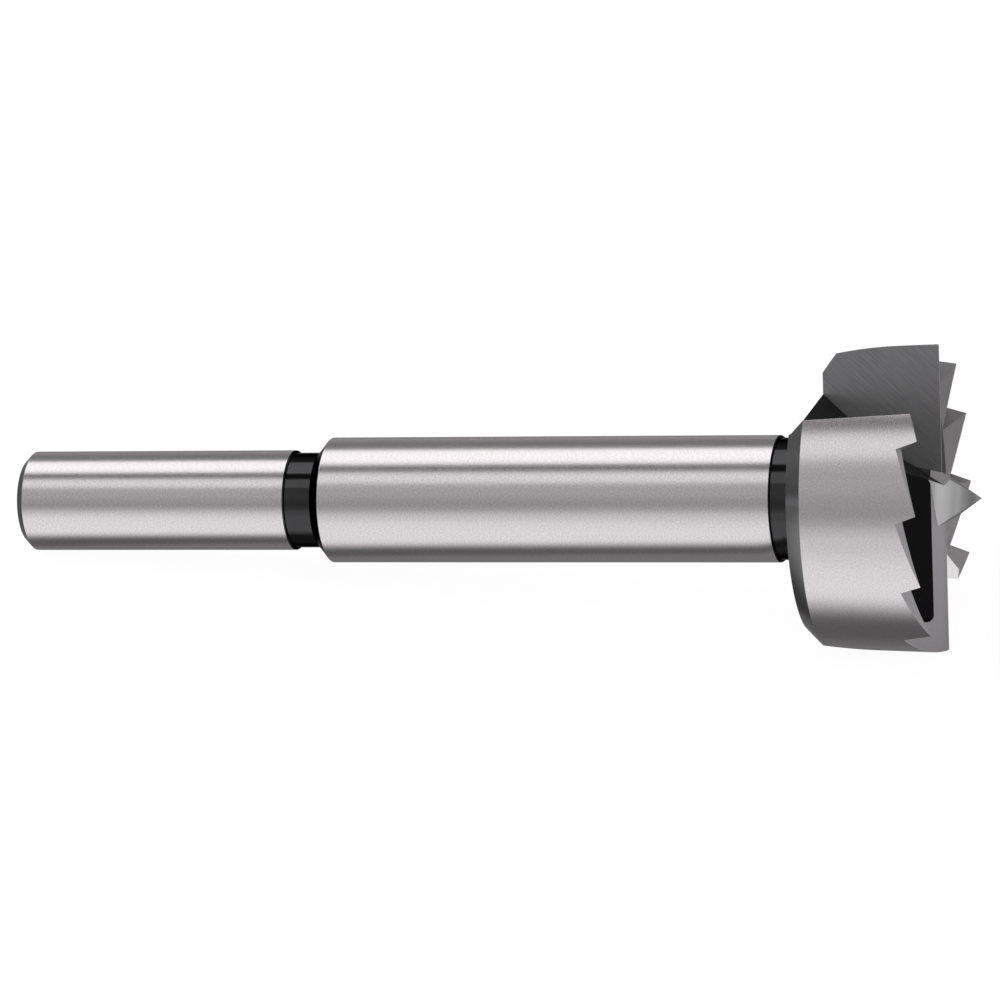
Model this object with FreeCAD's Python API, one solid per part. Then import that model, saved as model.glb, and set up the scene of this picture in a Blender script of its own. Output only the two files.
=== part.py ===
import FreeCAD, Part
import math
import os

from FreeCAD import Vector

# A sawtooth forstner bit, turned and milled from one bar of tool steel.
# It is modelled along its own axis: X runs from the shank to the centre point, and x = 0 is the
# plane of the tooth tips and of the two cutting edges. The last step lays it down as it rests.
# An angle about the axis is counted from +Z toward -Y, which is the way that the bit cuts.
# The two halves of the head are alike, half a turn apart. All lengths are in mm, angles in degrees.

# Shank and its groove
shank_diameter = 10.0
shank_length = 28.4
shank_end_chamfer = 0.8
shank_step_chamfer = 0.3
groove_diameter = 9.5
groove_length = 2.6

# Body and neck
body_diameter = 12.5
body_length = 47.1
body_back_chamfer_angle = 50.0
neck_diameter = 12.0
neck_length = 3.1

# Head blank
cutting_diameter = 30.0
head_length = 12.9
head_chamfer_length = 1.6
head_chamfer_depth = 1.5
rim_back_taper = 0.35

# Centre point: a four-sided pyramid whose sides come in two opposite pairs
point_height = 3.75
point_root_depth = 1.2
broad_side_angle = 110.2
broad_side_slope = 20.4
narrow_side_angle = 0.0
narrow_side_slope = 32.5

# Cutting edges
edge_lead = 0.8
edge_skew = 7.2
rake_angle = 27.5
first_land_width = 0.8
first_land_relief = 8.0
land_width = 2.95
land_relief = 19.5
wing_parting_angle = 30.0

# Rim teeth
teeth_per_wing = 4
first_tooth_angle = 69.1
tooth_pitch = 27.7
tooth_depth = 2.0
tooth_face_lean = 2.9
tooth_skew = 20.0
last_root_depth = 2.65

# Rim wall and the pocket that it encloses
rim_wall = 2.75
rim_bevel_depth = 2.0
pocket_slope = 47.0
pocket_depth = 6.5
pocket_corner_radius = 0.8

# Gullet in front of each cutting edge
gullet_wall_angle = 57.5
gullet_wall_turn = 1.3
gullet_wall_lean = 60.0
gullet_exit_distance = 8.64
gullet_exit_turn = 16.0
gullet_floor_drop = 35.0
gullet_heart_distance = 1.67
gullet_heart_turn = 8.6
gullet_heart_drop = 25.2
web_facet_height = 2.5
web_facet_drop = 14.8
web_facet_turn = 68.0

# Cutters run this far past the metal that they remove
overrun = 40.0
skim = 1.0
settle_tolerance = 0.001

rim_radius = cutting_diameter / 2
pocket_radius = rim_radius - rim_wall
axis_x = Vector(1, 0, 0)
origin = Vector(0, 0, 0)


def cosd(angle):
    return math.cos(math.radians(angle))


def sind(angle):
    return math.sin(math.radians(angle))


def tand(angle):
    return math.tan(math.radians(angle))


def polar(x, radius, angle):
    """A point at this distance from the axis, turned by this angle in the cutting direction."""
    return Vector(x, -radius * sind(angle), radius * cosd(angle))


def half_space(point, normal):
    """A large block that starts at the plane and lies on the side that the normal points to."""
    block = Part.makeBox(2 * overrun, 2 * overrun, overrun, Vector(-overrun, -overrun, 0))
    turn = FreeCAD.Rotation(Vector(0, 0, 1), normal)
    block.Placement = FreeCAD.Placement(point, turn)
    return block


def region(*blocks):
    """What several blocks have in common."""
    solid = blocks[0]
    for block in blocks[1:]:
        solid = solid.common(block)
    return solid


def opposite(shape):
    """The same shape half a turn about the axis away."""
    twin = shape.copy()
    twin.rotate(origin, axis_x, 180)
    return twin


# Turned blank

def turned_outline():
    """Half section of the blank: lengths along the axis paired with radii."""
    shank_radius = shank_diameter / 2
    groove_radius = groove_diameter / 2
    body_radius = body_diameter / 2
    neck_radius = neck_diameter / 2
    head_back = -head_length
    body_front = head_back - neck_length
    body_back = body_front - body_length
    groove_back = body_back - groove_length
    shank_back = groove_back - shank_length
    back_chamfer = (body_radius - groove_radius) / tand(body_back_chamfer_angle)
    rim_back_radius = rim_radius - rim_back_taper
    return [
        (shank_back, 0),
        (shank_back, shank_radius - shank_end_chamfer),
        (shank_back + shank_end_chamfer, shank_radius),
        (groove_back - shank_step_chamfer, shank_radius),
        (groove_back, shank_radius - shank_step_chamfer),
        (groove_back, groove_radius),
        (body_back, groove_radius),
        (body_back + back_chamfer, body_radius),
        (body_front, body_radius),
        (body_front, neck_radius),
        (head_back, neck_radius),
        (head_back, rim_back_radius - head_chamfer_depth),
        (head_back + head_chamfer_length, rim_back_radius),
        (0, rim_radius),
        (0, 0),
    ]


def turned_blank():
    corners = [Vector(x, 0, radius) for x, radius in turned_outline()]
    face = Part.Face(Part.makePolygon(corners + corners[:1]))
    return face.revolve(origin, axis_x, 360)


# Centre point

def point_side(angle, slope):
    """The metal side of one flank of the point, which passes through the tip."""
    outward = polar(sind(slope), cosd(slope), angle)
    return half_space(Vector(point_height, 0, 0), -outward)


def centre_point():
    sides = []
    for angle, slope in ((broad_side_angle, broad_side_slope), (narrow_side_angle, narrow_side_slope)):
        sides.append(point_side(angle, slope))
        sides.append(point_side(angle + 180, slope))
    root = half_space(Vector(-point_root_depth, 0, 0), axis_x)
    return region(root, *sides)


# Cutting edges of the lower wing, whose edge points to -Z

def edge_point(distance):
    """A point on the cutting edge line, at this distance down from the axis."""
    return Vector(0, edge_lead + distance * tand(edge_skew), -distance)


def edge_direction():
    return (edge_point(1) - edge_point(0)).normalize()


def behind_edge():
    """The direction square to the edge that points from it over the land behind."""
    return edge_direction().cross(axis_x).normalize()


def land_point(width):
    """A point on the land at this width behind the edge, with the drop of both reliefs."""
    first = min(width, first_land_width)
    second = width - first
    drop = first * tand(first_land_relief) + second * tand(land_relief)
    return edge_point(0) + behind_edge() * width - axis_x * drop


def sloped_plane(point, drop_angle):
    """The space in front of a plane that holds the edge direction and drops behind the edge."""
    fall = behind_edge() * cosd(drop_angle) - axis_x * sind(drop_angle)
    normal = fall.cross(edge_direction())
    if normal.x < 0:
        normal = -normal
    return half_space(point, normal)


def wing_side():
    """The half of the head that belongs to the lower wing."""
    return half_space(origin, polar(0, 1, wing_parting_angle + 90))


def land_cutters():
    """The two reliefs behind the edge, which end at the face of the last tooth."""
    last = teeth_per_wing - 1
    limit = half_space(root_point(last), tooth_face_normal(last))
    first = region(sloped_plane(edge_point(0), first_land_relief), wing_side(), limit)
    second = region(sloped_plane(land_point(first_land_width), land_relief), wing_side(), limit)
    return [first, second]


# Rim teeth

def tip_point(index):
    return polar(0, rim_radius, first_tooth_angle + index * tooth_pitch)


def root_point(index):
    depth = last_root_depth if index == teeth_per_wing - 1 else tooth_depth
    lean = tooth_face_lean * depth / tooth_depth
    return polar(-depth, rim_radius, first_tooth_angle + index * tooth_pitch + lean)


def root_direction(index):
    """The way that a root runs inward from the rim: skewed so that its inner end trails."""
    angle = first_tooth_angle + index * tooth_pitch
    return polar(0, -1, angle + tooth_skew)


def tooth_face_normal(index):
    normal = (tip_point(index) - root_point(index)).cross(root_direction(index))
    forward = polar(0, 1, first_tooth_angle + index * tooth_pitch + 90)
    return normal if normal.dot(forward) > 0 else -normal


def tooth_notch(index):
    """The space from one tooth's steep face up the long back of the next tooth."""
    root = root_point(index)
    face_end = root + (tip_point(index) - root) * 1.5
    back_end = root + (tip_point(index + 1) - root) * 1.5
    outline = Part.makePolygon([root, face_end, back_end, root])
    inward = root_direction(index)
    start = -inward * rim_wall
    notch = Part.Face(outline).extrude(inward * (3 * rim_wall))
    notch.translate(start)
    return notch


def first_tooth_back():
    """The slope behind the first tooth, which runs out at the gullet wall."""
    before = polar(-tooth_depth, rim_radius, first_tooth_angle - tooth_pitch + tooth_face_lean)
    tip = tip_point(0)
    above = before + (tip - before) * 1.2
    outline = Part.makePolygon([before, above, before + axis_x * (2 * tooth_depth), before])
    inward = root_direction(-1)
    back = Part.Face(outline).extrude(inward * (3 * rim_wall))
    back.translate(-inward * rim_wall)
    return back


# Rim bevel and pocket

def rim_bevel():
    """The cone that sharpens the teeth from inside, along the toothed part of the rim."""
    bevel_run = skim * rim_wall / rim_bevel_depth
    start = gullet_wall_angle - tooth_pitch / 2
    end = first_tooth_angle + (teeth_per_wing - 1) * tooth_pitch + tooth_face_lean
    corners = [
        polar(-rim_bevel_depth, pocket_radius, start),
        polar(skim, rim_radius + bevel_run, start),
        polar(skim, pocket_radius, start),
    ]
    face = Part.Face(Part.makePolygon(corners + corners[:1]))
    return face.revolve(origin, axis_x, end - start)


def pocket():
    """The hollow between the slope behind the land and the rim wall."""
    length = pocket_depth + skim
    bore = Part.makeCylinder(pocket_radius, length, Vector(-pocket_depth, 0, 0), axis_x)
    hollow = region(bore, sloped_plane(land_point(land_width), pocket_slope))
    corners = [edge for edge in hollow.Edges if edge.BoundBox.XMin < 0]
    return hollow.makeFillet(pocket_corner_radius, corners)


# Gullet in front of the upper wing's edge

def rake_space():
    """The space in front of the rake face, which leans back under the upper cutting edge."""
    along = Vector(0, -tand(edge_skew), 1).normalize()
    lean = Vector(-cosd(rake_angle), sind(rake_angle), 0)
    normal = lean.cross(along)
    if normal.y > 0:
        normal = -normal
    return half_space(Vector(0, -edge_lead, 0), normal)


def floor_space(x, distance, turn, drop):
    """The space above a floor that is this far from the axis at x, turned about the axis
    and dropping toward the front."""
    flat = Vector(0, -sind(turn), cosd(turn))
    normal = axis_x * sind(drop) + flat * cosd(drop)
    return half_space(Vector(x, 0, 0) + flat * distance, normal)


def wall_space():
    """The space on the gullet side of the end wall of the lower wing."""
    front = polar(0, rim_radius, gullet_wall_angle)
    back = polar(-head_length, rim_radius, gullet_wall_angle + gullet_wall_turn)
    inward = Vector(0, cosd(gullet_wall_lean), -sind(gullet_wall_lean))
    normal = (back - front).cross(inward)
    if normal.y < 0:
        normal = -normal
    return half_space(front, normal)


def web_space():
    """The space above the small facet that joins the foot of the rake face to the point."""
    foot = Vector(0, -edge_lead - web_facet_height * tand(edge_skew), web_facet_height)
    along = Vector(-cosd(web_facet_drop), cosd(web_facet_drop) * tand(rake_angle), sind(web_facet_drop))
    across = Vector(0, -cosd(web_facet_turn), -sind(web_facet_turn))
    normal = along.cross(across)
    if normal.z < 0:
        normal = -normal
    return half_space(foot, normal)


def gullet():
    exit_floor = floor_space(-head_length, gullet_exit_distance, gullet_exit_turn, gullet_floor_drop)
    heart_floor = floor_space(0, gullet_heart_distance, gullet_heart_turn, gullet_heart_drop)
    return region(rake_space(), exit_floor, heart_floor, web_space(), wall_space())


# Rest pose: on the rim at both sides of one gullet, and on the edge of the shank end

def tilt_for(corners, down):
    """The tilt at which the bit stands on its shank end and its lowest corner, where down is
    the angle about the axis that faces the floor."""
    shank_radius = shank_diameter / 2
    shank_edge = -head_length - neck_length - body_length - groove_length - shank_length + shank_end_chamfer
    slopes = []
    for corner in corners:
        depth = corner.dot(polar(0, 1, down)) - shank_radius
        slopes.append(depth / (corner.x - shank_edge))
    return math.degrees(math.atan(max(slopes)))


def resting_angles(bit):
    """The turn at which the tilt is least, found by closing in on it, and that tilt."""
    corners = [vertex.Point for vertex in bit.Vertexes if vertex.Point.x > -head_length]
    low = 180.0
    high = 180.0 + gullet_wall_angle
    while high - low > settle_tolerance:
        third = (high - low) / 3
        if tilt_for(corners, low + third) < tilt_for(corners, high - third):
            high -= third
        else:
            low += third
    down = (low + high) / 2
    return down, tilt_for(corners, down)


def laid_down(bit):
    """The bit at rest on the floor plane, with the origin under the middle of its box."""
    down, tilt = resting_angles(bit)
    rested = bit.copy()
    rested.rotate(origin, axis_x, 180 - down)
    rested.rotate(origin, Vector(0, 1, 0), -tilt)
    box = rested.optimalBoundingBox(False, False)
    rested.translate(Vector(-box.Center.x, -box.Center.y, -box.ZMin))
    return rested


# Whole bit

def forstner_bit():
    bit = turned_blank()
    cutters = land_cutters() + [pocket(), rim_bevel(), first_tooth_back()]
    cutters += [tooth_notch(index) for index in range(teeth_per_wing - 1)]
    for cutter in cutters:
        bit = bit.cut(cutter).cut(opposite(cutter))
    bit = bit.fuse(centre_point())
    bit = bit.cut(gullet()).cut(opposite(gullet()))
    return bit.removeSplitter().Solids[0]


def main():
    os.makedirs("parts", exist_ok=True)
    laid_down(forstner_bit()).exportStep("parts/forstner_bit.step")


if __name__ == "__main__":
    main()
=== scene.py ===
"""Forstner bit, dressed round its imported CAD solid: ground stem, blackened turnings, sharpened head."""

import math

import bmesh
import bpy
import numpy as np
from mathutils import Matrix, Vector


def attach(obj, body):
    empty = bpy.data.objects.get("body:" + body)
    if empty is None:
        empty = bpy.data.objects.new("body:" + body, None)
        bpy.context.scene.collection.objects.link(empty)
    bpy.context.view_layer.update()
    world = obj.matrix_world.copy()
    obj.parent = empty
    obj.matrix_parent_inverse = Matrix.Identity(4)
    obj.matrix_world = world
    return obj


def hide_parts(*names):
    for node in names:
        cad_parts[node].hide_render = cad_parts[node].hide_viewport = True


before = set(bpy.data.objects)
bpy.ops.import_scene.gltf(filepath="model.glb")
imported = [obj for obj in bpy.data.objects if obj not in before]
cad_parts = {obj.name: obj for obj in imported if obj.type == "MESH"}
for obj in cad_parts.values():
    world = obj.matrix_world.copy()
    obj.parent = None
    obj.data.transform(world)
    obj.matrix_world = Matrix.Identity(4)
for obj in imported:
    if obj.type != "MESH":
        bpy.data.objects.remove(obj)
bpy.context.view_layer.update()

bl_info = {
    "name": "Forstner bit",
    "version": (1, 0, 0),
    "blender": (4, 5, 0),
    "location": "3D View > Sidebar > Forstner bit",
    "description": "Dresses the packed forstner bit in its ground, blackened and sharpened steel",
    "category": "Mesh",
}

NODE = "forstner_bit"
BODY = "root"
MM = 0.001

# How the bit lies: its axis climbs toward the head by TILT, and it is turned about that axis by TURN
TILT = math.radians(5.513063)
TURN = math.radians(31.2168)

# Sizes of the solid that its new surfaces follow. Places are given along the axis, from the tooth tips.
POINT_HEIGHT = 3.75 * MM
NECK_CUT = -14.5 * MM
NECK_RADIUS = 6.0 * MM
HEAD_BACK = -12.9 * MM
CHAMFER_LENGTH = 1.6 * MM
CHAMFER_DEPTH = 1.5 * MM
RIM_RADIUS = 15.0 * MM
RIM_TAPER = 0.35 * MM
POCKET_FLOOR = -6.5 * MM
POCKET_RADIUS = 12.25 * MM
POINT_REACH = 3.2 * MM
POINT_ROOT = -1.2 * MM
LAND_FOOT = -3.0 * MM

# Share of the root fillet that is left at the foot of the two square shoulders
CREASE_SHARE = 0.1

# How the solid's head is refined and smoothed: points nearer than MERGE_GAP are one, a point lies on a
# turned surface within TURNING_GAP, a face is square to the axis within FLAT_GAP, an edge that spans more
# than FACET_ANGLE is halved, HALVINGS times at most, and faces that lie within SMOOTH_ANGLE blend
MERGE_GAP = 0.001 * MM
TURNING_GAP = 0.03 * MM
FLAT_GAP = 0.01 * MM
FACET_ANGLE = math.radians(1.8)
HALVINGS = 3
SMOOTH_ANGLE = math.radians(8)

# The turned surfaces of the head, as numbers for its faces, with 0 for all other faces
ON_OUTSIDE, ON_CHAMFER, ON_NECK = 1, 2, 3

# The cuts of the head, told by their lean, which is the part of a face's unit normal along the axis. The
# gap's wall is told by its rise as well, the part along the bit's own Z axis.
LEAN_GAP = 0.01
LAND_LEAN = 0.9
RAKE_LEANS = (-0.5, -0.42)
POINT_LEANS = (0.2, 0.65)
POCKET_LEAN = -0.1
POCKET_FLOOR_LEAN = 0.1
HEART_LEANS = (0.426, 0.574)
WEB_LEAN = -0.358
WALL_LEAN = -0.023
WALL_RISE = 0.5
BACK_LEAN = -0.99

# The rim's inner wall looks in toward the axis by more than INWARD and lies no farther than RIM_REACH
# inside the pocket's edge. SKIN and CORNER_REACH reach past the pocket's outline and round its low corner.
INWARD = 0.95
RIM_REACH = 0.2 * MM
SKIN = 0.05 * MM
CORNER_REACH = 0.9 * MM

# Slant of the grinding marks on the rake faces, against the bit's axis
MARK_SLANT = math.radians(-33)

# Least divisors, where a length or an area could be nothing
LEAST_AREA = 1e-18
LEAST_LENGTH = 1e-9
LEAST_RADIUS = 0.1 * MM

# The mesh's map of grinding marks
MARKS = "grinding"

# The finishes, in the order of the mesh's material slots
FINISHES = ("ground", "black", "turned", "rake", "land", "pocket", "heart", "point", "flank", "wall")
GROUND, BLACK, TURNED, RAKE, LAND, POCKET, HEART, POINT, FLANK, WALL = range(len(FINISHES))


def bit_to_row():
    """The turn about the bit's axis, then the tilt, then the move that brings its tip to the solid's tip."""
    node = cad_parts[NODE]
    turned = Matrix.Rotation(-TILT, 4, "Y") @ Matrix.Rotation(-TURN, 4, "X")
    axis = turned @ Vector((1, 0, 0))
    tip = max((vertex.co for vertex in node.data.vertices), key=axis.dot)
    return Matrix.Translation(tip - axis * POINT_HEIGHT) @ turned


# Sizes and colours that a user can change


class ForstnerBitSizes(bpy.types.PropertyGroup):
    shank_diameter: bpy.props.FloatProperty(
        name="Shank diameter", description="Width of the ground shank", default=0.010, unit="LENGTH"
    )
    shank_length: bpy.props.FloatProperty(
        name="Shank length", description="From the shank's end to the groove", default=0.0284, unit="LENGTH"
    )
    shank_chamfer: bpy.props.FloatProperty(
        name="Shank chamfer", description="Chamfer at the shank's free end", default=0.0008, unit="LENGTH"
    )
    groove_diameter: bpy.props.FloatProperty(
        name="Groove diameter", description="Width at the blackened groove", default=0.0095, unit="LENGTH"
    )
    groove_length: bpy.props.FloatProperty(
        name="Groove length", description="Length of the blackened groove", default=0.0026, unit="LENGTH"
    )
    body_diameter: bpy.props.FloatProperty(
        name="Body diameter", description="Width of the ground body", default=0.0125, unit="LENGTH"
    )
    body_length: bpy.props.FloatProperty(
        name="Body length", description="From the groove to the neck", default=0.0471, unit="LENGTH"
    )
    body_chamfer: bpy.props.FloatProperty(
        name="Body chamfer", description="Length of the slope from the groove up to the body",
        default=0.00126, unit="LENGTH",
    )
    neck_length: bpy.props.FloatProperty(
        name="Neck length", description="Length of the blackened neck", default=0.0031, unit="LENGTH"
    )
    edge_break: bpy.props.FloatProperty(
        name="Edge break", description="Radius of the stem's broken edges", default=0.00012, unit="LENGTH"
    )
    shoulder_round: bpy.props.FloatProperty(
        name="Shoulder round", description="Radius of the edges where the shank and the body end",
        default=0.00016, unit="LENGTH",
    )
    root_fillet: bpy.props.FloatProperty(
        name="Root fillet", description="Radius at the foot of the shoulders", default=0.00004, unit="LENGTH"
    )
    turns: bpy.props.IntProperty(name="Turns", description="Facets round the stem", default=240)
    arc_steps: bpy.props.IntProperty(name="Arc steps", description="Points on each rounded edge", default=7)


class ForstnerBitColours(bpy.types.PropertyGroup):
    ground: bpy.props.FloatVectorProperty(
        name="Ground steel", description="Outside of the shank, body and head", subtype="COLOR",
        size=4, default=(0.675, 0.64, 0.65, 1),
    )
    black: bpy.props.FloatVectorProperty(
        name="Blackened steel", description="Groove, neck, and the slope beside the groove", subtype="COLOR",
        size=4, default=(0.055, 0.055, 0.057, 1),
    )
    turned: bpy.props.FloatVectorProperty(
        name="Turned steel", description="Back of the head and end of the shank", subtype="COLOR",
        size=4, default=(0.20, 0.20, 0.205, 1),
    )
    rake: bpy.props.FloatVectorProperty(
        name="Rake face", description="Milled faces in front of the cutting edges", subtype="COLOR",
        size=4, default=(0.28, 0.278, 0.287, 1),
    )
    land: bpy.props.FloatVectorProperty(
        name="Land", description="Lands behind the cutting edges", subtype="COLOR",
        size=4, default=(0.565, 0.545, 0.562, 1),
    )
    pocket: bpy.props.FloatVectorProperty(
        name="Pocket", description="Hollow inside the rim", subtype="COLOR",
        size=4, default=(0.009, 0.009, 0.009, 1),
    )
    heart: bpy.props.FloatVectorProperty(
        name="Heart", description="Slopes between the wings at the foot of the centre point", subtype="COLOR",
        size=4, default=(0.026, 0.026, 0.026, 1),
    )
    point: bpy.props.FloatVectorProperty(
        name="Centre point", description="Four sides of the centre point", subtype="COLOR",
        size=4, default=(0.54, 0.545, 0.54, 1),
    )
    flank: bpy.props.FloatVectorProperty(
        name="Tooth flank", description="Teeth, and the bevel and wall inside the rim", subtype="COLOR",
        size=4, default=(0.385, 0.37, 0.377, 1),
    )
    # The gap wall is real steel, but its near-white colour, brighter than the ground outside, is a painted
    # highlight
    wall: bpy.props.FloatVectorProperty(
        name="Gap wall", description="Wall of the gap at the end of each rim arc", subtype="COLOR",
        size=4, default=(0.95, 0.92, 0.93, 1),
    )


class ForstnerBitStage(bpy.types.PropertyGroup):
    floor_size: bpy.props.FloatProperty(
        name="Floor size", description="Side of the square floor", default=6.0, unit="LENGTH"
    )
    lamp_distance: bpy.props.FloatProperty(
        name="Lamp distance", description="From the bit to each softbox", default=0.6, unit="LENGTH"
    )
    lamp_end: bpy.props.FloatProperty(
        name="Lamp end", description="How far each softbox reaches past the bit's middle toward the head",
        default=0.08, unit="LENGTH",
    )
    lamp_length: bpy.props.FloatProperty(
        name="Lamp length", description="Length of each softbox, along the bit", default=1.6, unit="LENGTH"
    )
    back_glow: bpy.props.FloatProperty(
        name="Back glow", description="Radiance of the softbox over the bit's back", default=1.40
    )
    front_glow: bpy.props.FloatProperty(
        name="Front glow", description="Radiance of the softbox over the bit's front", default=0.97
    )
    floor_glow: bpy.props.FloatProperty(
        name="Floor glow", description="Floor in front of the bit, as the steel mirrors it", default=1.17
    )
    far_glow: bpy.props.FloatProperty(
        name="Far glow", description="Floor farther off, as the steel mirrors it", default=0.9
    )
    shade_glow: bpy.props.FloatProperty(
        name="Shade glow", description="Floor in the bit's shade, as the steel mirrors it", default=0.10
    )
    behind_glow: bpy.props.FloatProperty(
        name="Behind glow", description="Floor behind the bit, as the steel mirrors it", default=0.255
    )
    end_glow: bpy.props.FloatProperty(
        name="End glow", description="Floor beyond the head, as the steel mirrors it", default=0.45
    )
    # A painted pool of light on the floor, which only the steel mirrors
    spot_glow: bpy.props.FloatProperty(
        name="Spot glow", description="Spot under the lower gullet, as the steel mirrors it", default=0.9
    )
    side_glow: bpy.props.FloatProperty(
        name="Side glow", description="Room straight beyond the head", default=0.80
    )
    rear_lift: bpy.props.FloatProperty(
        name="Rear lift", description="How many times lighter the room's far corner is", default=3.6
    )
    white_share: bpy.props.FloatProperty(
        name="White share", description="How far the floor is lifted to white for the camera", default=0.85
    )


# Turned stem


def stem_stations(sizes):
    """Places along the axis: the body's front and back, the groove's back, and the shank's end."""
    body_front = HEAD_BACK - sizes.neck_length
    body_back = body_front - sizes.body_length
    groove_back = body_back - sizes.groove_length
    return body_front, body_back, groove_back, groove_back - sizes.shank_length


def stem_corners(sizes):
    """Corners of the stem's half section, from the shank's end to the cut in the neck, as rows of
    place along the axis, radius, and the radius of the rounded edge there."""
    body_front, body_back, groove_back, end = stem_stations(sizes)
    shank = sizes.shank_diameter / 2
    groove = sizes.groove_diameter / 2
    body = sizes.body_diameter / 2
    crease = CREASE_SHARE * sizes.root_fillet
    return np.array(
        [
            (end, 0, 0),
            (end, shank - sizes.shank_chamfer, sizes.edge_break),
            (end + sizes.shank_chamfer, shank, sizes.edge_break),
            (groove_back, shank, sizes.shoulder_round),
            (groove_back, groove, crease),
            (body_back, groove, sizes.root_fillet),
            (body_back + sizes.body_chamfer, body, sizes.edge_break),
            (body_front, body, sizes.shoulder_round),
            (body_front, NECK_RADIUS, crease),
            (NECK_CUT, NECK_RADIUS, 0),
        ]
    )


def rounded_profile(corners, steps):
    """Points and outward normals of a polyline whose inner corners are rounded.

    At each corner the outward normal swings evenly from that of the line before to that of the line
    after. The arc's centre lies at the corner, less the sum of both normals times the radius over one
    plus their dot product, outward on a convex corner and inward on a hollow one, and each point is the
    centre plus the radius along the normal of the moment, on the same side.
    """
    run = np.diff(corners[:, :2], axis=0)
    run /= np.linalg.norm(run, axis=1)[:, None]
    normal = np.stack([-run[:, 1], run[:, 0]], 1)
    before, after = normal[:-1], normal[1:]
    swing = np.arctan2(before[:, 0] * after[:, 1] - before[:, 1] * after[:, 0], (before * after).sum(1))
    side = np.where(swing < 0, 1.0, -1.0)[:, None]
    radius = corners[1:-1, 2][:, None]
    middle = corners[1:-1, :2]
    centre = middle - side * radius * (before + after) / (1 + (before * after).sum(1))[:, None]
    angle = np.arctan2(before[:, 1], before[:, 0])[:, None] + swing[:, None] * np.linspace(0, 1, steps)
    arc_normal = np.stack([np.cos(angle), np.sin(angle)], 2)
    arc = centre[:, None] + (side * radius)[:, None] * arc_normal
    points = np.concatenate([arc.reshape(-1, 2), corners[-1:, :2]])
    normals = np.concatenate([arc_normal.reshape(-1, 2), normal[-1:]])
    return points, normals


def carried_round(pairs, angles):
    """A profile carried round the axis: each pair (x, r) becomes a ring of points
    (x, -r sin a, r cos a) over the angles a."""
    x = np.repeat(pairs[:, :1], len(angles), 1)
    return np.stack([x, -pairs[:, 1:] * np.sin(angles), pairs[:, 1:] * np.cos(angles)], 2)


def ring_quads(rings, turns):
    """Corner numbers of the quads between neighbouring rings, facing outward."""
    i, j = np.meshgrid(np.arange(rings - 1), np.arange(turns), indexing="ij")
    k = (j + 1) % turns
    quads = np.stack([i * turns + j, i * turns + k, (i + 1) * turns + k, (i + 1) * turns + j], 2)
    return quads.reshape(-1, 4)


def ring_strip(first, first_angles, second, second_angles):
    """Triangles that join two rings with different numbers of corners.

    The angles of both rings are sorted together, and each step onward on one ring makes a triangle
    with the corner that the other ring has reached.
    """
    first = first[np.argsort(first_angles)]
    second = second[np.argsort(second_angles)]
    both = np.concatenate([np.sort(first_angles), np.sort(second_angles)])
    on_first = np.concatenate([np.ones(len(first), bool), np.zeros(len(second), bool)])
    on_first = on_first[np.argsort(both, kind="stable")]
    i = np.cumsum(on_first) - 1
    j = np.cumsum(~on_first) - 1
    from_first = np.stack([first[i - 1], first[i % len(first)], second[j]], 1)
    from_second = np.stack([second[j % len(second)], second[j - 1], first[i]], 1)
    return np.where(on_first[:, None], from_first, from_second)


# Sharpened head


def rim_outline(x):
    """Radius of the head's ground outside at each length: it grows evenly from the chamfer to the tips."""
    back = HEAD_BACK + CHAMFER_LENGTH
    return RIM_RADIUS - RIM_TAPER * x / back


def chamfer_outline(x):
    """Radius of the head's back chamfer at each length: it grows evenly from the head's back face."""
    back = RIM_RADIUS - RIM_TAPER
    return back - CHAMFER_DEPTH + CHAMFER_DEPTH * (x - HEAD_BACK) / CHAMFER_LENGTH


def on_turning(corners):
    """Which of the head's turned surfaces each face lies on, or 0 for none. A face lies on one when each
    of its corners is as far from the axis as that surface is."""
    x, radius = corners[..., 0], np.hypot(corners[..., 1], corners[..., 2])
    back = HEAD_BACK + CHAMFER_LENGTH
    outside = (abs(radius - rim_outline(x)) < TURNING_GAP) & (x > back - TURNING_GAP)
    chamfer = (abs(radius - chamfer_outline(x)) < TURNING_GAP) & (x < back + TURNING_GAP)
    neck = (abs(radius - NECK_RADIUS) < TURNING_GAP) & (x < HEAD_BACK + TURNING_GAP)
    flat = np.ptp(x, axis=-1) < FLAT_GAP
    kinds = np.zeros(x.shape[:-1], int)
    kinds[neck.all(-1) & ~flat] = ON_NECK
    kinds[chamfer.all(-1) & ~flat] = ON_CHAMFER
    kinds[outside.all(-1) & ~flat] = ON_OUTSIDE
    return kinds


def corners_of(bm):
    """The corners of each triangle, as an array of faces, corners and axes."""
    return np.array([[vert.co[:] for vert in face.verts] for face in bm.faces]).reshape(-1, 3, 3)


def spot_of(place):
    """A place as a key that the same place gives again."""
    return tuple(round(part, 9) for part in place)


def round_the_turnings(bm):
    """Halves each edge of a turned surface that spans too wide an angle, and moves its new middle
    straight out from the axis to the mean radius of the edge's ends."""
    for _ in range(HALVINGS):
        kinds = on_turning(corners_of(bm))
        bm.faces.ensure_lookup_table()
        wide = []
        for edge in {edge for face in bm.faces if kinds[face.index] for edge in face.edges}:
            a, b = (vert.co for vert in edge.verts)
            span = abs(math.remainder(math.atan2(a.y, a.z) - math.atan2(b.y, b.z), math.tau))
            if span > FACET_ANGLE:
                wide.append((edge, (math.hypot(a.y, a.z) + math.hypot(b.y, b.z)) / 2, (a + b) / 2))
        goals = {spot_of(middle): radius for _, radius, middle in wide}
        made = bmesh.ops.subdivide_edges(bm, edges=[edge for edge, _, _ in wide], cuts=1)
        for vert in (item for item in made["geom_inner"] if isinstance(item, bmesh.types.BMVert)):
            radius = goals.get(spot_of(vert.co))
            if radius:
                grow = radius / math.hypot(vert.co.y, vert.co.z)
                vert.co.y *= grow
                vert.co.z *= grow
        bmesh.ops.triangulate(bm, faces=bm.faces[:])
        bm.faces.index_update()


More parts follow.
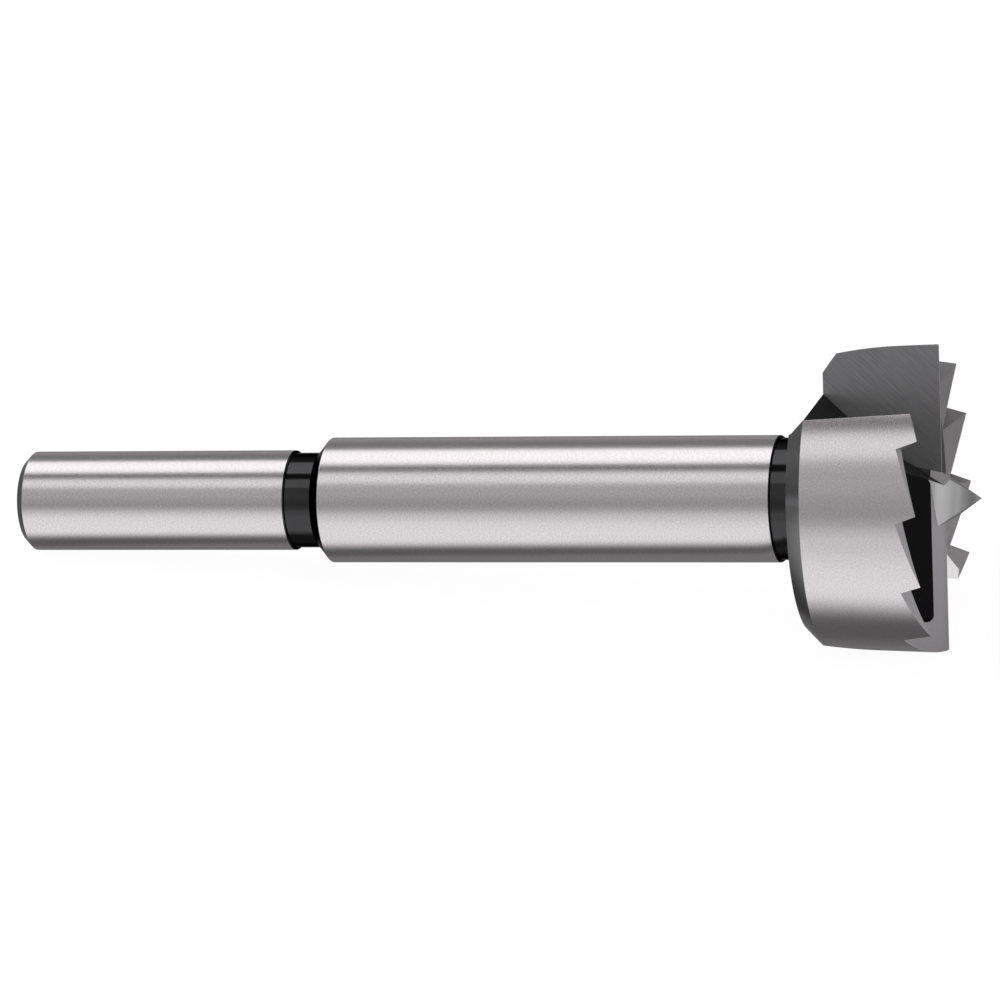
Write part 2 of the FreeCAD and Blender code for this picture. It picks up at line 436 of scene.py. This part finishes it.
def head_mesh(to_row):
    """The solid's own head, cut off in the neck and merged: corner points in the bit's frame,
    triangles, and the corner numbers of the open ring at the cut."""
    bm = bmesh.new()
    bm.from_mesh(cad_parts[NODE].data)
    bm.transform(to_row.inverted())
    bmesh.ops.remove_doubles(bm, verts=bm.verts, dist=MERGE_GAP)
    for place, cut_off in ((NECK_CUT, True), (POINT_ROOT, False)):
        bmesh.ops.bisect_plane(
            bm,
            geom=bm.verts[:] + bm.edges[:] + bm.faces[:],
            plane_co=(place, 0, 0),
            plane_no=(1, 0, 0),
            clear_inner=cut_off,
        )
    bmesh.ops.triangulate(bm, faces=bm.faces[:])
    bm.faces.index_update()
    round_the_turnings(bm)
    bm.verts.index_update()
    points = np.array([vert.co[:] for vert in bm.verts])
    faces = np.array([[vert.index for vert in face.verts] for face in bm.faces])
    ring = np.array(sorted({vert.index for edge in bm.edges if edge.is_boundary for vert in edge.verts}))
    bm.free()
    radius = np.hypot(points[ring, 1], points[ring, 2])
    points[ring, 1:] *= (NECK_RADIUS / radius)[:, None]
    return points, faces, ring


# Stem and head as one mesh


def face_normals(points, faces):
    """Unit normal of each triangle, from the cross product of two of its sides."""
    a, b, c = (points[faces[:, k]] for k in range(3))
    normal = np.cross(b - a, c - a)
    return normal / np.maximum(np.linalg.norm(normal, axis=1), LEAST_AREA)[:, None]


def smooth_normals(points, faces):
    """Normal at each corner of each triangle: the sum of the normals of the faces round that point
    which lie within SMOOTH_ANGLE of its own face, each weighted by its corner angle there.

    The corners are sorted by their point, so that each point has its own run of corners in the order.
    Each corner then meets the others of its run, one step round the run after the other.
    """
    normal = face_normals(points, faces)
    corner = points[faces]
    ahead = np.roll(corner, -1, 1) - corner
    behind = np.roll(corner, 1, 1) - corner
    lengths = np.linalg.norm(ahead, axis=2) * np.linalg.norm(behind, axis=2)
    cosine = (ahead * behind).sum(2) / np.maximum(lengths, LEAST_AREA)
    weight = np.arccos(np.clip(cosine, -1, 1)).ravel()
    point = faces.ravel()
    owner = np.repeat(np.arange(len(faces)), 3)
    order = np.argsort(point, kind="stable")
    counts = np.bincount(point, minlength=len(points))
    starts = np.concatenate([[0], np.cumsum(counts)[:-1]])
    place = np.empty(len(point), int)
    place[order] = np.arange(len(point)) - np.repeat(starts, counts)
    out = normal[owner] * weight[:, None]
    for step in range(1, counts.max()):
        other = order[starts[point] + (place + step) % counts[point]]
        alike = (normal[owner] * normal[owner[other]]).sum(1) > math.cos(SMOOTH_ANGLE)
        alike &= step < counts[point]
        out += np.where(alike[:, None], normal[owner[other]] * weight[other][:, None], 0)
    return (out / np.linalg.norm(out, axis=1)[:, None]).reshape(-1, 3, 3)


def revolved_normals(points, slope):
    """Outward normals of a cone about the axis at these points, where slope is the growth of its
    radius along the axis: the radial direction, less the slope along the axis, made unit length."""
    radial = points.copy()
    radial[..., 0] = 0
    radial /= np.linalg.norm(radial, axis=-1)[..., None]
    radial[..., 0] = -slope
    return radial / math.hypot(1, slope)


def head_normals(points, faces):
    """Corner normals of the head: exact on the turned surfaces, and smoothed elsewhere."""
    normals = smooth_normals(points, faces)
    kinds = on_turning(points[faces])
    slopes = {
        ON_OUTSIDE: -RIM_TAPER / (HEAD_BACK + CHAMFER_LENGTH),
        ON_CHAMFER: CHAMFER_DEPTH / CHAMFER_LENGTH,
        ON_NECK: 0.0,
    }
    for kind, slope in slopes.items():
        part = kinds == kind
        normals[part] = revolved_normals(points[faces[part]], slope)
    return normals


def head_finishes(points, faces):
    """The finish of each face of the head, told by where it lies and how it leans. Where two rules hold,
    the later one counts."""
    normal = face_normals(points, faces)
    middle = points[faces].mean(1)
    x, lean = middle[:, 0], normal[:, 0]
    radius = np.hypot(middle[:, 1], middle[:, 2])
    inward = -(normal[:, 1] * middle[:, 1] + normal[:, 2] * middle[:, 2]) / np.maximum(radius, LEAST_RADIUS)
    kinds = on_turning(points[faces])
    finish = np.full(len(faces), FLANK)
    finish[(lean > LAND_LEAN) & (x > LAND_FOOT)] = LAND
    inside = (radius < POCKET_RADIUS + SKIN) & (x > POCKET_FLOOR - 2 * SKIN)
    finish[inside & (lean > POCKET_LEAN) & (lean < LAND_LEAN)] = POCKET
    low = abs(x - POCKET_FLOOR) < CORNER_REACH
    finish[low & (lean > POCKET_FLOOR_LEAN) & (radius < POCKET_RADIUS)] = POCKET
    finish[(lean > RAKE_LEANS[0]) & (lean < RAKE_LEANS[1])] = RAKE
    at_point = (x > POINT_ROOT) & (radius < POINT_REACH)
    finish[at_point & (lean > POINT_LEANS[0]) & (lean < POINT_LEANS[1])] = POINT
    for heart_lean in HEART_LEANS:
        finish[abs(lean - heart_lean) < LEAN_GAP] = HEART
    finish[(inward > INWARD) & (radius > POCKET_RADIUS - RIM_REACH)] = FLANK
    upright = abs(abs(normal[:, 2]) - WALL_RISE) < 2 * LEAN_GAP
    finish[(abs(lean - WALL_LEAN) < LEAN_GAP) & upright] = WALL
    finish[(abs(lean - WEB_LEAN) < LEAN_GAP) & (x < POINT_ROOT)] = HEART
    finish[lean < BACK_LEAN] = TURNED
    for kind, steel in ((ON_OUTSIDE, GROUND), (ON_CHAMFER, TURNED), (ON_NECK, BLACK)):
        finish[kinds == kind] = steel
    return finish


def stem_finishes(x, sizes):
    """The finish of each face of the stem, told by its place along the axis: the groove, the slope and
    shoulders beside it and the neck are blackened, the shank's end is turned, and the rest is ground."""
    body_front, body_back, groove_back, end = stem_stations(sizes)
    finish = np.full(len(x), GROUND)
    finish[(x > groove_back - sizes.shoulder_round) & (x < body_back + sizes.body_chamfer)] = BLACK
    finish[x > body_front - sizes.shoulder_round] = BLACK
    finish[x < end + sizes.shank_chamfer] = TURNED
    return finish


def bit_arrays(sizes, to_row):
    """The whole bit as arrays in its own frame: points, faces as lists of corners, the normal at each
    corner and the finish of each face. The turned stem and the head meet in a strip of triangles."""
    profile, profile_normals = rounded_profile(stem_corners(sizes), sizes.arc_steps)
    turns = np.arange(sizes.turns) * math.tau / sizes.turns
    stem = carried_round(profile, turns).reshape(-1, 3)
    stem_normals = carried_round(profile_normals, turns).reshape(-1, 3)
    rings = len(profile)
    pole = len(stem)
    points = np.concatenate([stem, [[profile[0, 0], 0, 0]]])
    quads = ring_quads(rings, sizes.turns)
    first = np.arange(sizes.turns)
    cap = np.stack([np.full(sizes.turns, pole), np.roll(first, -1), first], 1)
    head, head_faces, cut = head_mesh(to_row)
    shift = len(points)
    last = (rings - 1) * sizes.turns + first
    cut_angles = np.mod(np.arctan2(-head[cut, 1], head[cut, 2]), math.tau)
    strip = ring_strip(last, turns, cut + shift, cut_angles)
    points = np.concatenate([points, head])
    strip_normals = revolved_normals(points[strip], 0.0)
    cap_normals = np.tile([-1.0, 0, 0], (len(cap), 3, 1))
    corner_normals = [
        stem_normals[quads].reshape(-1, 3),
        cap_normals.reshape(-1, 3),
        strip_normals.reshape(-1, 3),
        head_normals(head, head_faces).reshape(-1, 3),
    ]
    finish = np.concatenate(
        [
            stem_finishes(points[quads, 0].mean(1), sizes),
            np.full(len(cap), TURNED),
            np.full(len(strip), BLACK),
            head_finishes(head, head_faces),
        ]
    )
    faces = quads.tolist() + cap.tolist() + strip.tolist() + (head_faces + shift).tolist()
    return points, faces, np.concatenate(corner_normals), finish


def grinding_map(points, loops, normals, finish_of_loop):
    """A map in metres whose first axis runs along the grinding marks and whose second runs across.

    On turned surfaces the marks run round the axis: (radius times angle, x). On a flat face they run
    along a direction laid into that face: (point dot along, point dot across), with across the cross
    product of the face's normal and along. The direction slants against the axis, the other way on
    faces that look to the far side, and on the centre point it runs square to the axis.
    """
    place = points[loops]
    radius = np.hypot(place[:, 1], place[:, 2])
    angle = np.arctan2(-place[:, 1], place[:, 2])
    round_marks = np.stack([radius * angle, place[:, 0]], 1)
    slant = np.array([math.cos(MARK_SLANT), 0.0, math.sin(MARK_SLANT)])
    mirrored = np.array([math.cos(MARK_SLANT), 0.0, -math.sin(MARK_SLANT)])
    run = np.where((normals[:, 1] > 0)[:, None], mirrored, slant)
    run = np.where((finish_of_loop == POINT)[:, None], np.array([0.0, 0.0, 1.0]), run)
    along = run - (run * normals).sum(1)[:, None] * normals
    along /= np.maximum(np.linalg.norm(along, axis=1), LEAST_LENGTH)[:, None]
    across = np.cross(normals, along)
    flat_marks = np.stack([(place * along).sum(1), (place * across).sum(1)], 1)
    turned = np.isin(finish_of_loop, (GROUND, BLACK, TURNED))[:, None]
    return np.where(turned, round_marks, flat_marks)


def make_bit(sizes, colours):
    """The bit as one mesh in its place, with its normals, its map of grinding marks and its finishes."""
    to_row = bit_to_row()
    points, faces, normals, finish = bit_arrays(sizes, to_row)
    rotation = np.array(to_row.to_3x3())
    placed = points @ rotation.T + np.array(to_row.translation)
    mesh = bpy.data.meshes.new("bit_steel")
    mesh.from_pydata(placed.tolist(), [], faces)
    mesh.update()
    loops = np.empty(len(mesh.loops), np.int32)
    mesh.loops.foreach_get("vertex_index", loops)
    mesh.polygons.foreach_set("material_index", finish.astype(np.int32))
    mesh.polygons.foreach_set("use_smooth", np.ones(len(faces), bool))
    finish_of_loop = np.repeat(finish, [len(face) for face in faces])
    marks = grinding_map(points, loops, normals, finish_of_loop)
    layer = mesh.uv_layers.new(name=MARKS)
    layer.data.foreach_set("uv", marks.astype(np.float32).ravel())
    mesh.normals_split_custom_set((normals @ rotation.T).tolist())
    for name in FINISHES:
        mesh.materials.append(steel_finish(name, getattr(colours, name)))
    piece = bpy.data.objects.new("bit_steel", mesh)
    bpy.context.scene.collection.objects.link(piece)
    return piece


# Shader nodes


def math_node(nodes, links, operation, first, second):
    """One Math node; each side is a socket or a number."""
    node = nodes.new("ShaderNodeMath")
    node.operation = operation
    for socket, value in zip(node.inputs, (first, second)):
        if isinstance(value, bpy.types.NodeSocket):
            links.new(value, socket)
        else:
            socket.default_value = value
    return node.outputs["Value"]


def range_node(nodes, links, value, start, end, low, high, smooth=True):
    """One Map Range node, which carries start to low and end to high, along an S curve when smooth."""
    node = nodes.new("ShaderNodeMapRange")
    node.interpolation_type = "SMOOTHSTEP" if smooth else "LINEAR"
    links.new(value, node.inputs["Value"])
    node.inputs["From Min"].default_value = start
    node.inputs["From Max"].default_value = end
    for name, limit in (("To Min", low), ("To Max", high)):
        if isinstance(limit, bpy.types.NodeSocket):
            links.new(limit, node.inputs[name])
        else:
            node.inputs[name].default_value = limit
    return node.outputs["Result"]


def grey_ramp(nodes, stops):
    """A Color Ramp node through these greys, as (place from 0 to 1, grey) pairs in rising order."""
    node = nodes.new("ShaderNodeValToRGB")
    elements = node.color_ramp.elements
    elements.remove(elements[1])
    elements[0].position = stops[0][0]
    for place, _ in stops[1:]:
        elements.new(place)
    for element, (_, grey) in zip(elements, stops):
        element.color = (grey, grey, grey, 1)
    return node


# Finishes of the steel

# Metallic share, roughness, size of the marks across and along them, how far they darken and lighten the
# colour, and the grey of the sheen at grazing angles
GRAIN = {
    "ground": (1.0, 0.24, 0.17 * MM, 0.20 * MM, 0.22, 0.85),
    "black": (1.0, 0.11, 0.10 * MM, 3.0 * MM, 0.12, 0.30),
    "turned": (1.0, 0.16, 0.12 * MM, 2.0 * MM, 0.12, 0.85),
    "rake": (0.5, 0.50, 0.12 * MM, 4.0 * MM, 0.34, 0.85),
    "land": (0.6, 0.45, 0.20 * MM, 0.3 * MM, 0.10, 0.85),
    "pocket": (1.0, 0.40, 0.15 * MM, 3.0 * MM, 0.25, 0.50),
    "heart": (0.5, 0.45, 0.20 * MM, 3.0 * MM, 0.12, 0.50),
    "point": (1.0, 0.36, 0.60 * MM, 9.0 * MM, 0.12, 0.85),
    "flank": (0.5, 0.45, 0.25 * MM, 0.3 * MM, 0.08, 0.85),
    "wall": (1.0, 0.20, 0.20 * MM, 0.3 * MM, 0.08, 0.85),
}

# Detail of the noise that makes the marks
MARK_DETAIL = 2.0

# Broad clouds in the roughness: how many to the metre, their detail, and how far they change it
CLOUD_SCALE = 600.0
CLOUD_DETAIL = 3.0
CLOUD_SHARE = 0.1

# Painted bands of shade and reflection along the centre point toward its tip: places along the row's X axis,
# and the grey that the colour is multiplied by there
POINT_SHADE_BANDS = (
    (44.1 * MM, 0.68), (44.75 * MM, 1.0), (45.4 * MM, 1.0), (46.1 * MM, 0.76), (46.7 * MM, 0.75),
    (47.0 * MM, 0.61), (47.5 * MM, 0.45), (47.95 * MM, 0.37), (48.15 * MM, 0.39), (48.6 * MM, 0.56),
)


def painted_point_shade(nodes, links, colour):
    """The colour times the grey that the table above gives for the place along the row: painted bands of
    shade and reflection on the centre point.
    """
    place = nodes.new("ShaderNodeTexCoord")
    split = nodes.new("ShaderNodeSeparateXYZ")
    links.new(place.outputs["Object"], split.inputs["Vector"])
    start, end = POINT_SHADE_BANDS[0][0], POINT_SHADE_BANDS[-1][0]
    run = range_node(nodes, links, split.outputs["X"], start, end, 0.0, 1.0, smooth=False)
    ramp = grey_ramp(nodes, [((x - start) / (end - start), grey) for x, grey in POINT_SHADE_BANDS])
    links.new(run, ramp.inputs["Fac"])
    banded = nodes.new("ShaderNodeMix")
    banded.data_type = "RGBA"
    banded.blend_type = "MULTIPLY"
    banded.inputs["Factor"].default_value = 1.0
    links.new(colour, banded.inputs["A"])
    links.new(ramp.outputs["Color"], banded.inputs["B"])
    return banded.outputs["Result"]


def steel_finish(name, colour):
    """Steel with fine marks: a noise stretched along the grinding map tints the colour, and a broader
    one varies the roughness. The centre point also carries painted bands of shade and reflection."""
    metal, roughness, across, along, share, sheen = GRAIN[name]
    material = bpy.data.materials.new(f"steel_{name}")
    material.use_nodes = True
    nodes, links = material.node_tree.nodes, material.node_tree.links
    shader = nodes["Principled BSDF"]
    shader.inputs["Metallic"].default_value = metal
    shader.inputs["Specular Tint"].default_value = (sheen, sheen, sheen, 1)
    where = nodes.new("ShaderNodeUVMap")
    where.uv_map = MARKS
    stretch = nodes.new("ShaderNodeVectorMath")
    stretch.operation = "MULTIPLY"
    stretch.inputs[1].default_value = (1 / along, 1 / across, 1)
    links.new(where.outputs["UV"], stretch.inputs[0])
    grain = nodes.new("ShaderNodeTexNoise")
    grain.inputs["Scale"].default_value = 1.0
    grain.inputs["Detail"].default_value = MARK_DETAIL
    links.new(stretch.outputs["Vector"], grain.inputs["Vector"])
    tint = nodes.new("ShaderNodeMix")
    tint.data_type = "RGBA"
    tint.inputs["A"].default_value = [c * (1 - share) for c in colour[:3]] + [1]
    tint.inputs["B"].default_value = [min(1, c * (1 + share)) for c in colour[:3]] + [1]
    links.new(grain.outputs["Fac"], tint.inputs["Factor"])
    shade = tint.outputs["Result"]
    # The centre point's colour is multiplied by painted bands of shade and reflection
    if name == "point":
        shade = painted_point_shade(nodes, links, shade)
    links.new(shade, shader.inputs["Base Color"])
    place = nodes.new("ShaderNodeTexCoord")
    cloud = nodes.new("ShaderNodeTexNoise")
    cloud.inputs["Scale"].default_value = CLOUD_SCALE
    cloud.inputs["Detail"].default_value = CLOUD_DETAIL
    links.new(place.outputs["Object"], cloud.inputs["Vector"])
    low, high = roughness * (1 - CLOUD_SHARE), roughness * (1 + CLOUD_SHARE)
    spread = range_node(nodes, links, cloud.outputs["Fac"], 0.0, 1.0, low, high, smooth=False)
    links.new(spread, shader.inputs["Roughness"])
    return material


# Floor, lamps, room and camera

# Camera: place in metres, turn in degrees, lens and sensor in millimetres, nearest and farthest sight
CAMERA_PLACE = (0.11498292, -0.44496113, 0.29065153)
CAMERA_TURN = (58.5077043, 2.5278076, 12.8587853)
CAMERA_LENS = 195.1832
CAMERA_SENSOR = 36.0
CAMERA_SIGHT = (0.01, 20.0)

# The place that the softboxes face
AIM = Vector((0, 0, 10 * MM))

# Colour of the matt floor
FLOOR_GREY = 0.9

# Glow of the floor that makes it white to the camera together with its own matt share
WHITE = 1.12

# Softboxes as angles in degrees from straight up, toward the front positive
BACK_BOX = (-46.6, -9.0)
FRONT_BOX = (7.5, 30.5)

# Grey of the room round the bit, by the angle in degrees from straight up, toward the front positive
ROOM = (
    (-180, 0.20), (-104, 0.20), (-94, 0.32), (-80, 0.32), (-68, 0.20), (-47, 0.20), (-44, 0.07),
    (29, 0.07), (33, 0.50), (42, 0.48), (50, 0.53), (58, 0.46), (67, 0.38), (75, 0.37), (82, 0.54),
    (90, 0.88), (180, 0.88),
)

# Shares of a direction that run straight toward the head, between which the room turns to its side glow
SIDE_FADE = (0.72, 0.86)

# The room's far corner: shares of a direction toward the head and toward the back, between which it grows
REAR_SIDE = (0.40, 0.62)
REAR_FADE = (0.05, 0.35)

# The floor as the steel mirrors it. In front of the bit lies its shade, whose edge follows the line
# through the two places (x, y) of SHADE_LINE, and swings farther out by SHADE_HEAD in front of the head.
SHADE_LINE = ((-50 * MM, -7.2 * MM), (25 * MM, -12.6 * MM))
SHADE_HEAD = ((26.5 * MM, 0), (30 * MM, -8.1 * MM))

# Shares of the way from the axis to that edge: the shade deepens between the first two, and gives way
# to the bright floor between the next two
SHADE_DEEP = (0.36, 0.61)
SHADE_GROWTH = (0.74, 1.20)

# Places where the floor changes: far behind the bit, beyond its head, and in front of it
SHADE_BACK = (150 * MM, 600 * MM)
SHADE_END = (50 * MM, 80 * MM)
NEAR_FRONT = (-100 * MM, -16 * MM)

# A painted pool of light on the floor under the lower gullet, which only the steel mirrors: its middle, and
# the radii between which it fades
PAINTED_LIGHT_SPOT = (44.1 * MM, 4.0 * MM)
LIT_FADE = (3.0 * MM, 6.0 * MM)


def floor_glow(nodes, links, stage):
    """Glow of the floor for the steel: bright in front of the shade, deepest in it, dim under and behind
    the bit, less dim beyond its head, and bright far behind it and on the painted pool of light under the
    lower gullet.

    The edge of the shade is a straight line in x with a step in front of the head, and reach is y over
    that edge: 0 under the axis and 1 at the edge.
    """
    place = nodes.new("ShaderNodeTexCoord")
    split = nodes.new("ShaderNodeSeparateXYZ")
    links.new(place.outputs["Object"], split.inputs["Vector"])
    x, y = split.outputs["X"], split.outputs["Y"]
    (x_start, y_start), (x_end, y_end) = SHADE_LINE
    (x_low, y_low), (x_high, y_high) = SHADE_HEAD
    straight = range_node(nodes, links, x, x_start, x_end, y_start, y_end, smooth=False)
    step = range_node(nodes, links, x, x_low, x_high, y_low, y_high)
    reach = math_node(nodes, links, "DIVIDE", y, math_node(nodes, links, "ADD", straight, step))
    under = range_node(nodes, links, reach, *SHADE_DEEP, stage.behind_glow, stage.shade_glow)
    end = range_node(nodes, links, x, *SHADE_END, under, stage.end_glow)
    behind = range_node(nodes, links, y, *SHADE_BACK, end, stage.far_glow)
    front = range_node(nodes, links, y, *NEAR_FRONT, stage.far_glow, stage.floor_glow)
    around = range_node(nodes, links, reach, *SHADE_GROWTH, behind, front)
    apart = nodes.new("ShaderNodeVectorMath")
    apart.operation = "DISTANCE"
    apart.inputs[1].default_value = (*PAINTED_LIGHT_SPOT, 0)
    links.new(place.outputs["Object"], apart.inputs[0])
    return range_node(nodes, links, apart.outputs["Value"], *LIT_FADE, stage.spot_glow, around)


def floor_finish(stage):
    """Pale matt floor that the camera sees as white, with the contact shadow kept, and that the steel
    sees with the shade of the bit on it."""
    material = bpy.data.materials.new("pale_floor")
    material.use_nodes = True
    nodes, links = material.node_tree.nodes, material.node_tree.links
    nodes.clear()
    matt = nodes.new("ShaderNodeBsdfDiffuse")
    matt.inputs["Color"].default_value = (FLOOR_GREY, FLOOR_GREY, FLOOR_GREY, 1)
    white = nodes.new("ShaderNodeEmission")
    seen = nodes.new("ShaderNodeLightPath")
    glow = nodes.new("ShaderNodeMix")
    glow.inputs["A"].default_value = WHITE
    links.new(seen.outputs["Is Glossy Ray"], glow.inputs["Factor"])
    links.new(floor_glow(nodes, links, stage), glow.inputs["B"])
    links.new(glow.outputs["Result"], white.inputs["Strength"])
    direct = math_node(nodes, links, "ADD", seen.outputs["Is Camera Ray"], seen.outputs["Is Glossy Ray"])
    every = math_node(nodes, links, "ADD", direct, seen.outputs["Is Transmission Ray"])
    blend = nodes.new("ShaderNodeMixShader")
    links.new(math_node(nodes, links, "MULTIPLY", every, stage.white_share), blend.inputs["Fac"])
    links.new(matt.outputs["BSDF"], blend.inputs[1])
    links.new(white.outputs["Emission"], blend.inputs[2])
    out = nodes.new("ShaderNodeOutputMaterial")
    links.new(blend.outputs["Shader"], out.inputs["Surface"])
    return material


def make_floor(stage):
    """A square floor under the bit, which is no part of it."""
    half = stage.floor_size / 2
    corners = [(-half, -half, 0), (half, -half, 0), (half, half, 0), (-half, half, 0)]
    mesh = bpy.data.meshes.new("floor")
    mesh.from_pydata(corners, [], [(0, 1, 2, 3)])
    mesh.materials.append(floor_finish(stage))
    floor = bpy.data.objects.new("floor", mesh)
    bpy.context.scene.collection.objects.link(floor)


def make_softbox(name, stage, edges, glow):
    """A long area lamp parallel to the bit that fills these angles over it, at a set radiance.
    Its power is the radiance times pi times its area."""
    low, high = (math.radians(angle) for angle in edges)
    middle, half = (low + high) / 2, (high - low) / 2
    width = 2 * stage.lamp_distance * math.tan(half)
    lamp = bpy.data.lights.new(name, "AREA")
    lamp.shape = "RECTANGLE"
    lamp.size = stage.lamp_length
    lamp.size_y = width
    lamp.energy = glow * math.pi * stage.lamp_length * width
    box = bpy.data.objects.new(name, lamp)
    away = Vector((0, -math.sin(middle), math.cos(middle)))
    box.location = AIM + away * stage.lamp_distance
    box.location.x += stage.lamp_end - stage.lamp_length / 2
    box.rotation_euler = (middle, 0, 0)
    box.visible_camera = False
    bpy.context.scene.collection.objects.link(box)


def make_room(stage):
    """Grey studio round the bit, graded by the angle about its length, and white where the camera sees
    it. It is lighter straight beyond the head, and in the far corner behind that. The angle is the arc
    tangent of front over up."""
    world = bpy.data.worlds.new("studio")
    world.use_nodes = True
    nodes, links = world.node_tree.nodes, world.node_tree.links
    nodes.clear()
    place = nodes.new("ShaderNodeTexCoord")
    split = nodes.new("ShaderNodeSeparateXYZ")
    links.new(place.outputs["Generated"], split.inputs["Vector"])
    x, y = split.outputs["X"], split.outputs["Y"]
    front = math_node(nodes, links, "MULTIPLY", y, -1.0)
    angle = math_node(nodes, links, "ARCTAN2", front, split.outputs["Z"])
    share = range_node(nodes, links, angle, -math.pi, math.pi, 0.0, 1.0, smooth=False)
    ramp = grey_ramp(nodes, [((degrees + 180) / 360, grey) for degrees, grey in ROOM])
    links.new(share, ramp.inputs["Fac"])
    toward_head = range_node(nodes, links, x, *REAR_SIDE, 0.0, 1.0)
    toward_back = range_node(nodes, links, y, *REAR_FADE, 0.0, 1.0)
    corner = math_node(nodes, links, "MULTIPLY", toward_head, toward_back)
    lift = range_node(nodes, links, corner, 0.0, 1.0, 1.0, stage.rear_lift, smooth=False)
    lifted = math_node(nodes, links, "MULTIPLY", ramp.outputs["Color"], lift)
    grey = nodes.new("ShaderNodeBackground")
    links.new(range_node(nodes, links, x, *SIDE_FADE, lifted, stage.side_glow), grey.inputs["Color"])
    white = nodes.new("ShaderNodeBackground")
    seen = nodes.new("ShaderNodeLightPath")
    blend = nodes.new("ShaderNodeMixShader")
    links.new(seen.outputs["Is Camera Ray"], blend.inputs["Fac"])
    links.new(grey.outputs["Background"], blend.inputs[1])
    links.new(white.outputs["Background"], blend.inputs[2])
    out = nodes.new("ShaderNodeOutputWorld")
    links.new(blend.outputs["Shader"], out.inputs["Surface"])
    bpy.context.scene.world = world


def make_camera():
    """The scene's camera."""
    lens = bpy.data.cameras.new("camera")
    lens.lens = CAMERA_LENS
    lens.sensor_width = CAMERA_SENSOR
    lens.clip_start, lens.clip_end = CAMERA_SIGHT
    camera = bpy.data.objects.new("camera", lens)
    camera.location = CAMERA_PLACE
    camera.rotation_euler = [math.radians(angle) for angle in CAMERA_TURN]
    bpy.context.scene.collection.objects.link(camera)
    bpy.context.scene.camera = camera


# Add-on


class FORSTNER_OT_bit(bpy.types.Operator):
    """Make the bit's steel: the turned stem and the sharpened head, as one mesh"""

    bl_idname = "forstner.bit"
    bl_label = "Make the bit"

    def execute(self, context):
        piece = make_bit(context.scene.forstner_sizes, context.scene.forstner_colours)
        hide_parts(NODE)
        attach(piece, BODY)
        return {"FINISHED"}


class FORSTNER_OT_stage(bpy.types.Operator):
    """Set the stage: floor, softboxes, grey room and camera"""

    bl_idname = "forstner.stage"
    bl_label = "Set the stage"

    def execute(self, context):
        stage = context.scene.forstner_stage
        make_floor(stage)
        make_softbox("softbox_back", stage, BACK_BOX, stage.back_glow)
        make_softbox("softbox_front", stage, FRONT_BOX, stage.front_glow)
        make_room(stage)
        make_camera()
        context.scene.view_settings.view_transform = "Standard"
        return {"FINISHED"}


class FORSTNER_PT_panel(bpy.types.Panel):
    """Sizes, colours and stage of the bit, with a button for each operator"""

    bl_idname = "FORSTNER_PT_panel"
    bl_label = "Forstner bit"
    bl_space_type = "VIEW_3D"
    bl_region_type = "UI"
    bl_category = "Forstner bit"

    def draw(self, context):
        layout = self.layout
        scene = context.scene
        for group in (scene.forstner_sizes, scene.forstner_colours, scene.forstner_stage):
            box = layout.box()
            for name in group.__annotations__:
                box.prop(group, name)
        for operator in (FORSTNER_OT_bit, FORSTNER_OT_stage):
            layout.operator(operator.bl_idname)


CLASSES = (
    ForstnerBitSizes,
    ForstnerBitColours,
    ForstnerBitStage,
    FORSTNER_OT_bit,
    FORSTNER_OT_stage,
    FORSTNER_PT_panel,
)


def register():
    for cls in CLASSES:
        bpy.utils.register_class(cls)
    bpy.types.Scene.forstner_sizes = bpy.props.PointerProperty(type=ForstnerBitSizes)
    bpy.types.Scene.forstner_colours = bpy.props.PointerProperty(type=ForstnerBitColours)
    bpy.types.Scene.forstner_stage = bpy.props.PointerProperty(type=ForstnerBitStage)


def unregister():
    del bpy.types.Scene.forstner_stage
    del bpy.types.Scene.forstner_colours
    del bpy.types.Scene.forstner_sizes
    for cls in reversed(CLASSES):
        bpy.utils.unregister_class(cls)


def main():
    register()
    bpy.ops.forstner.bit()
    bpy.ops.forstner.stage()


if __name__ == "__main__":
    main()
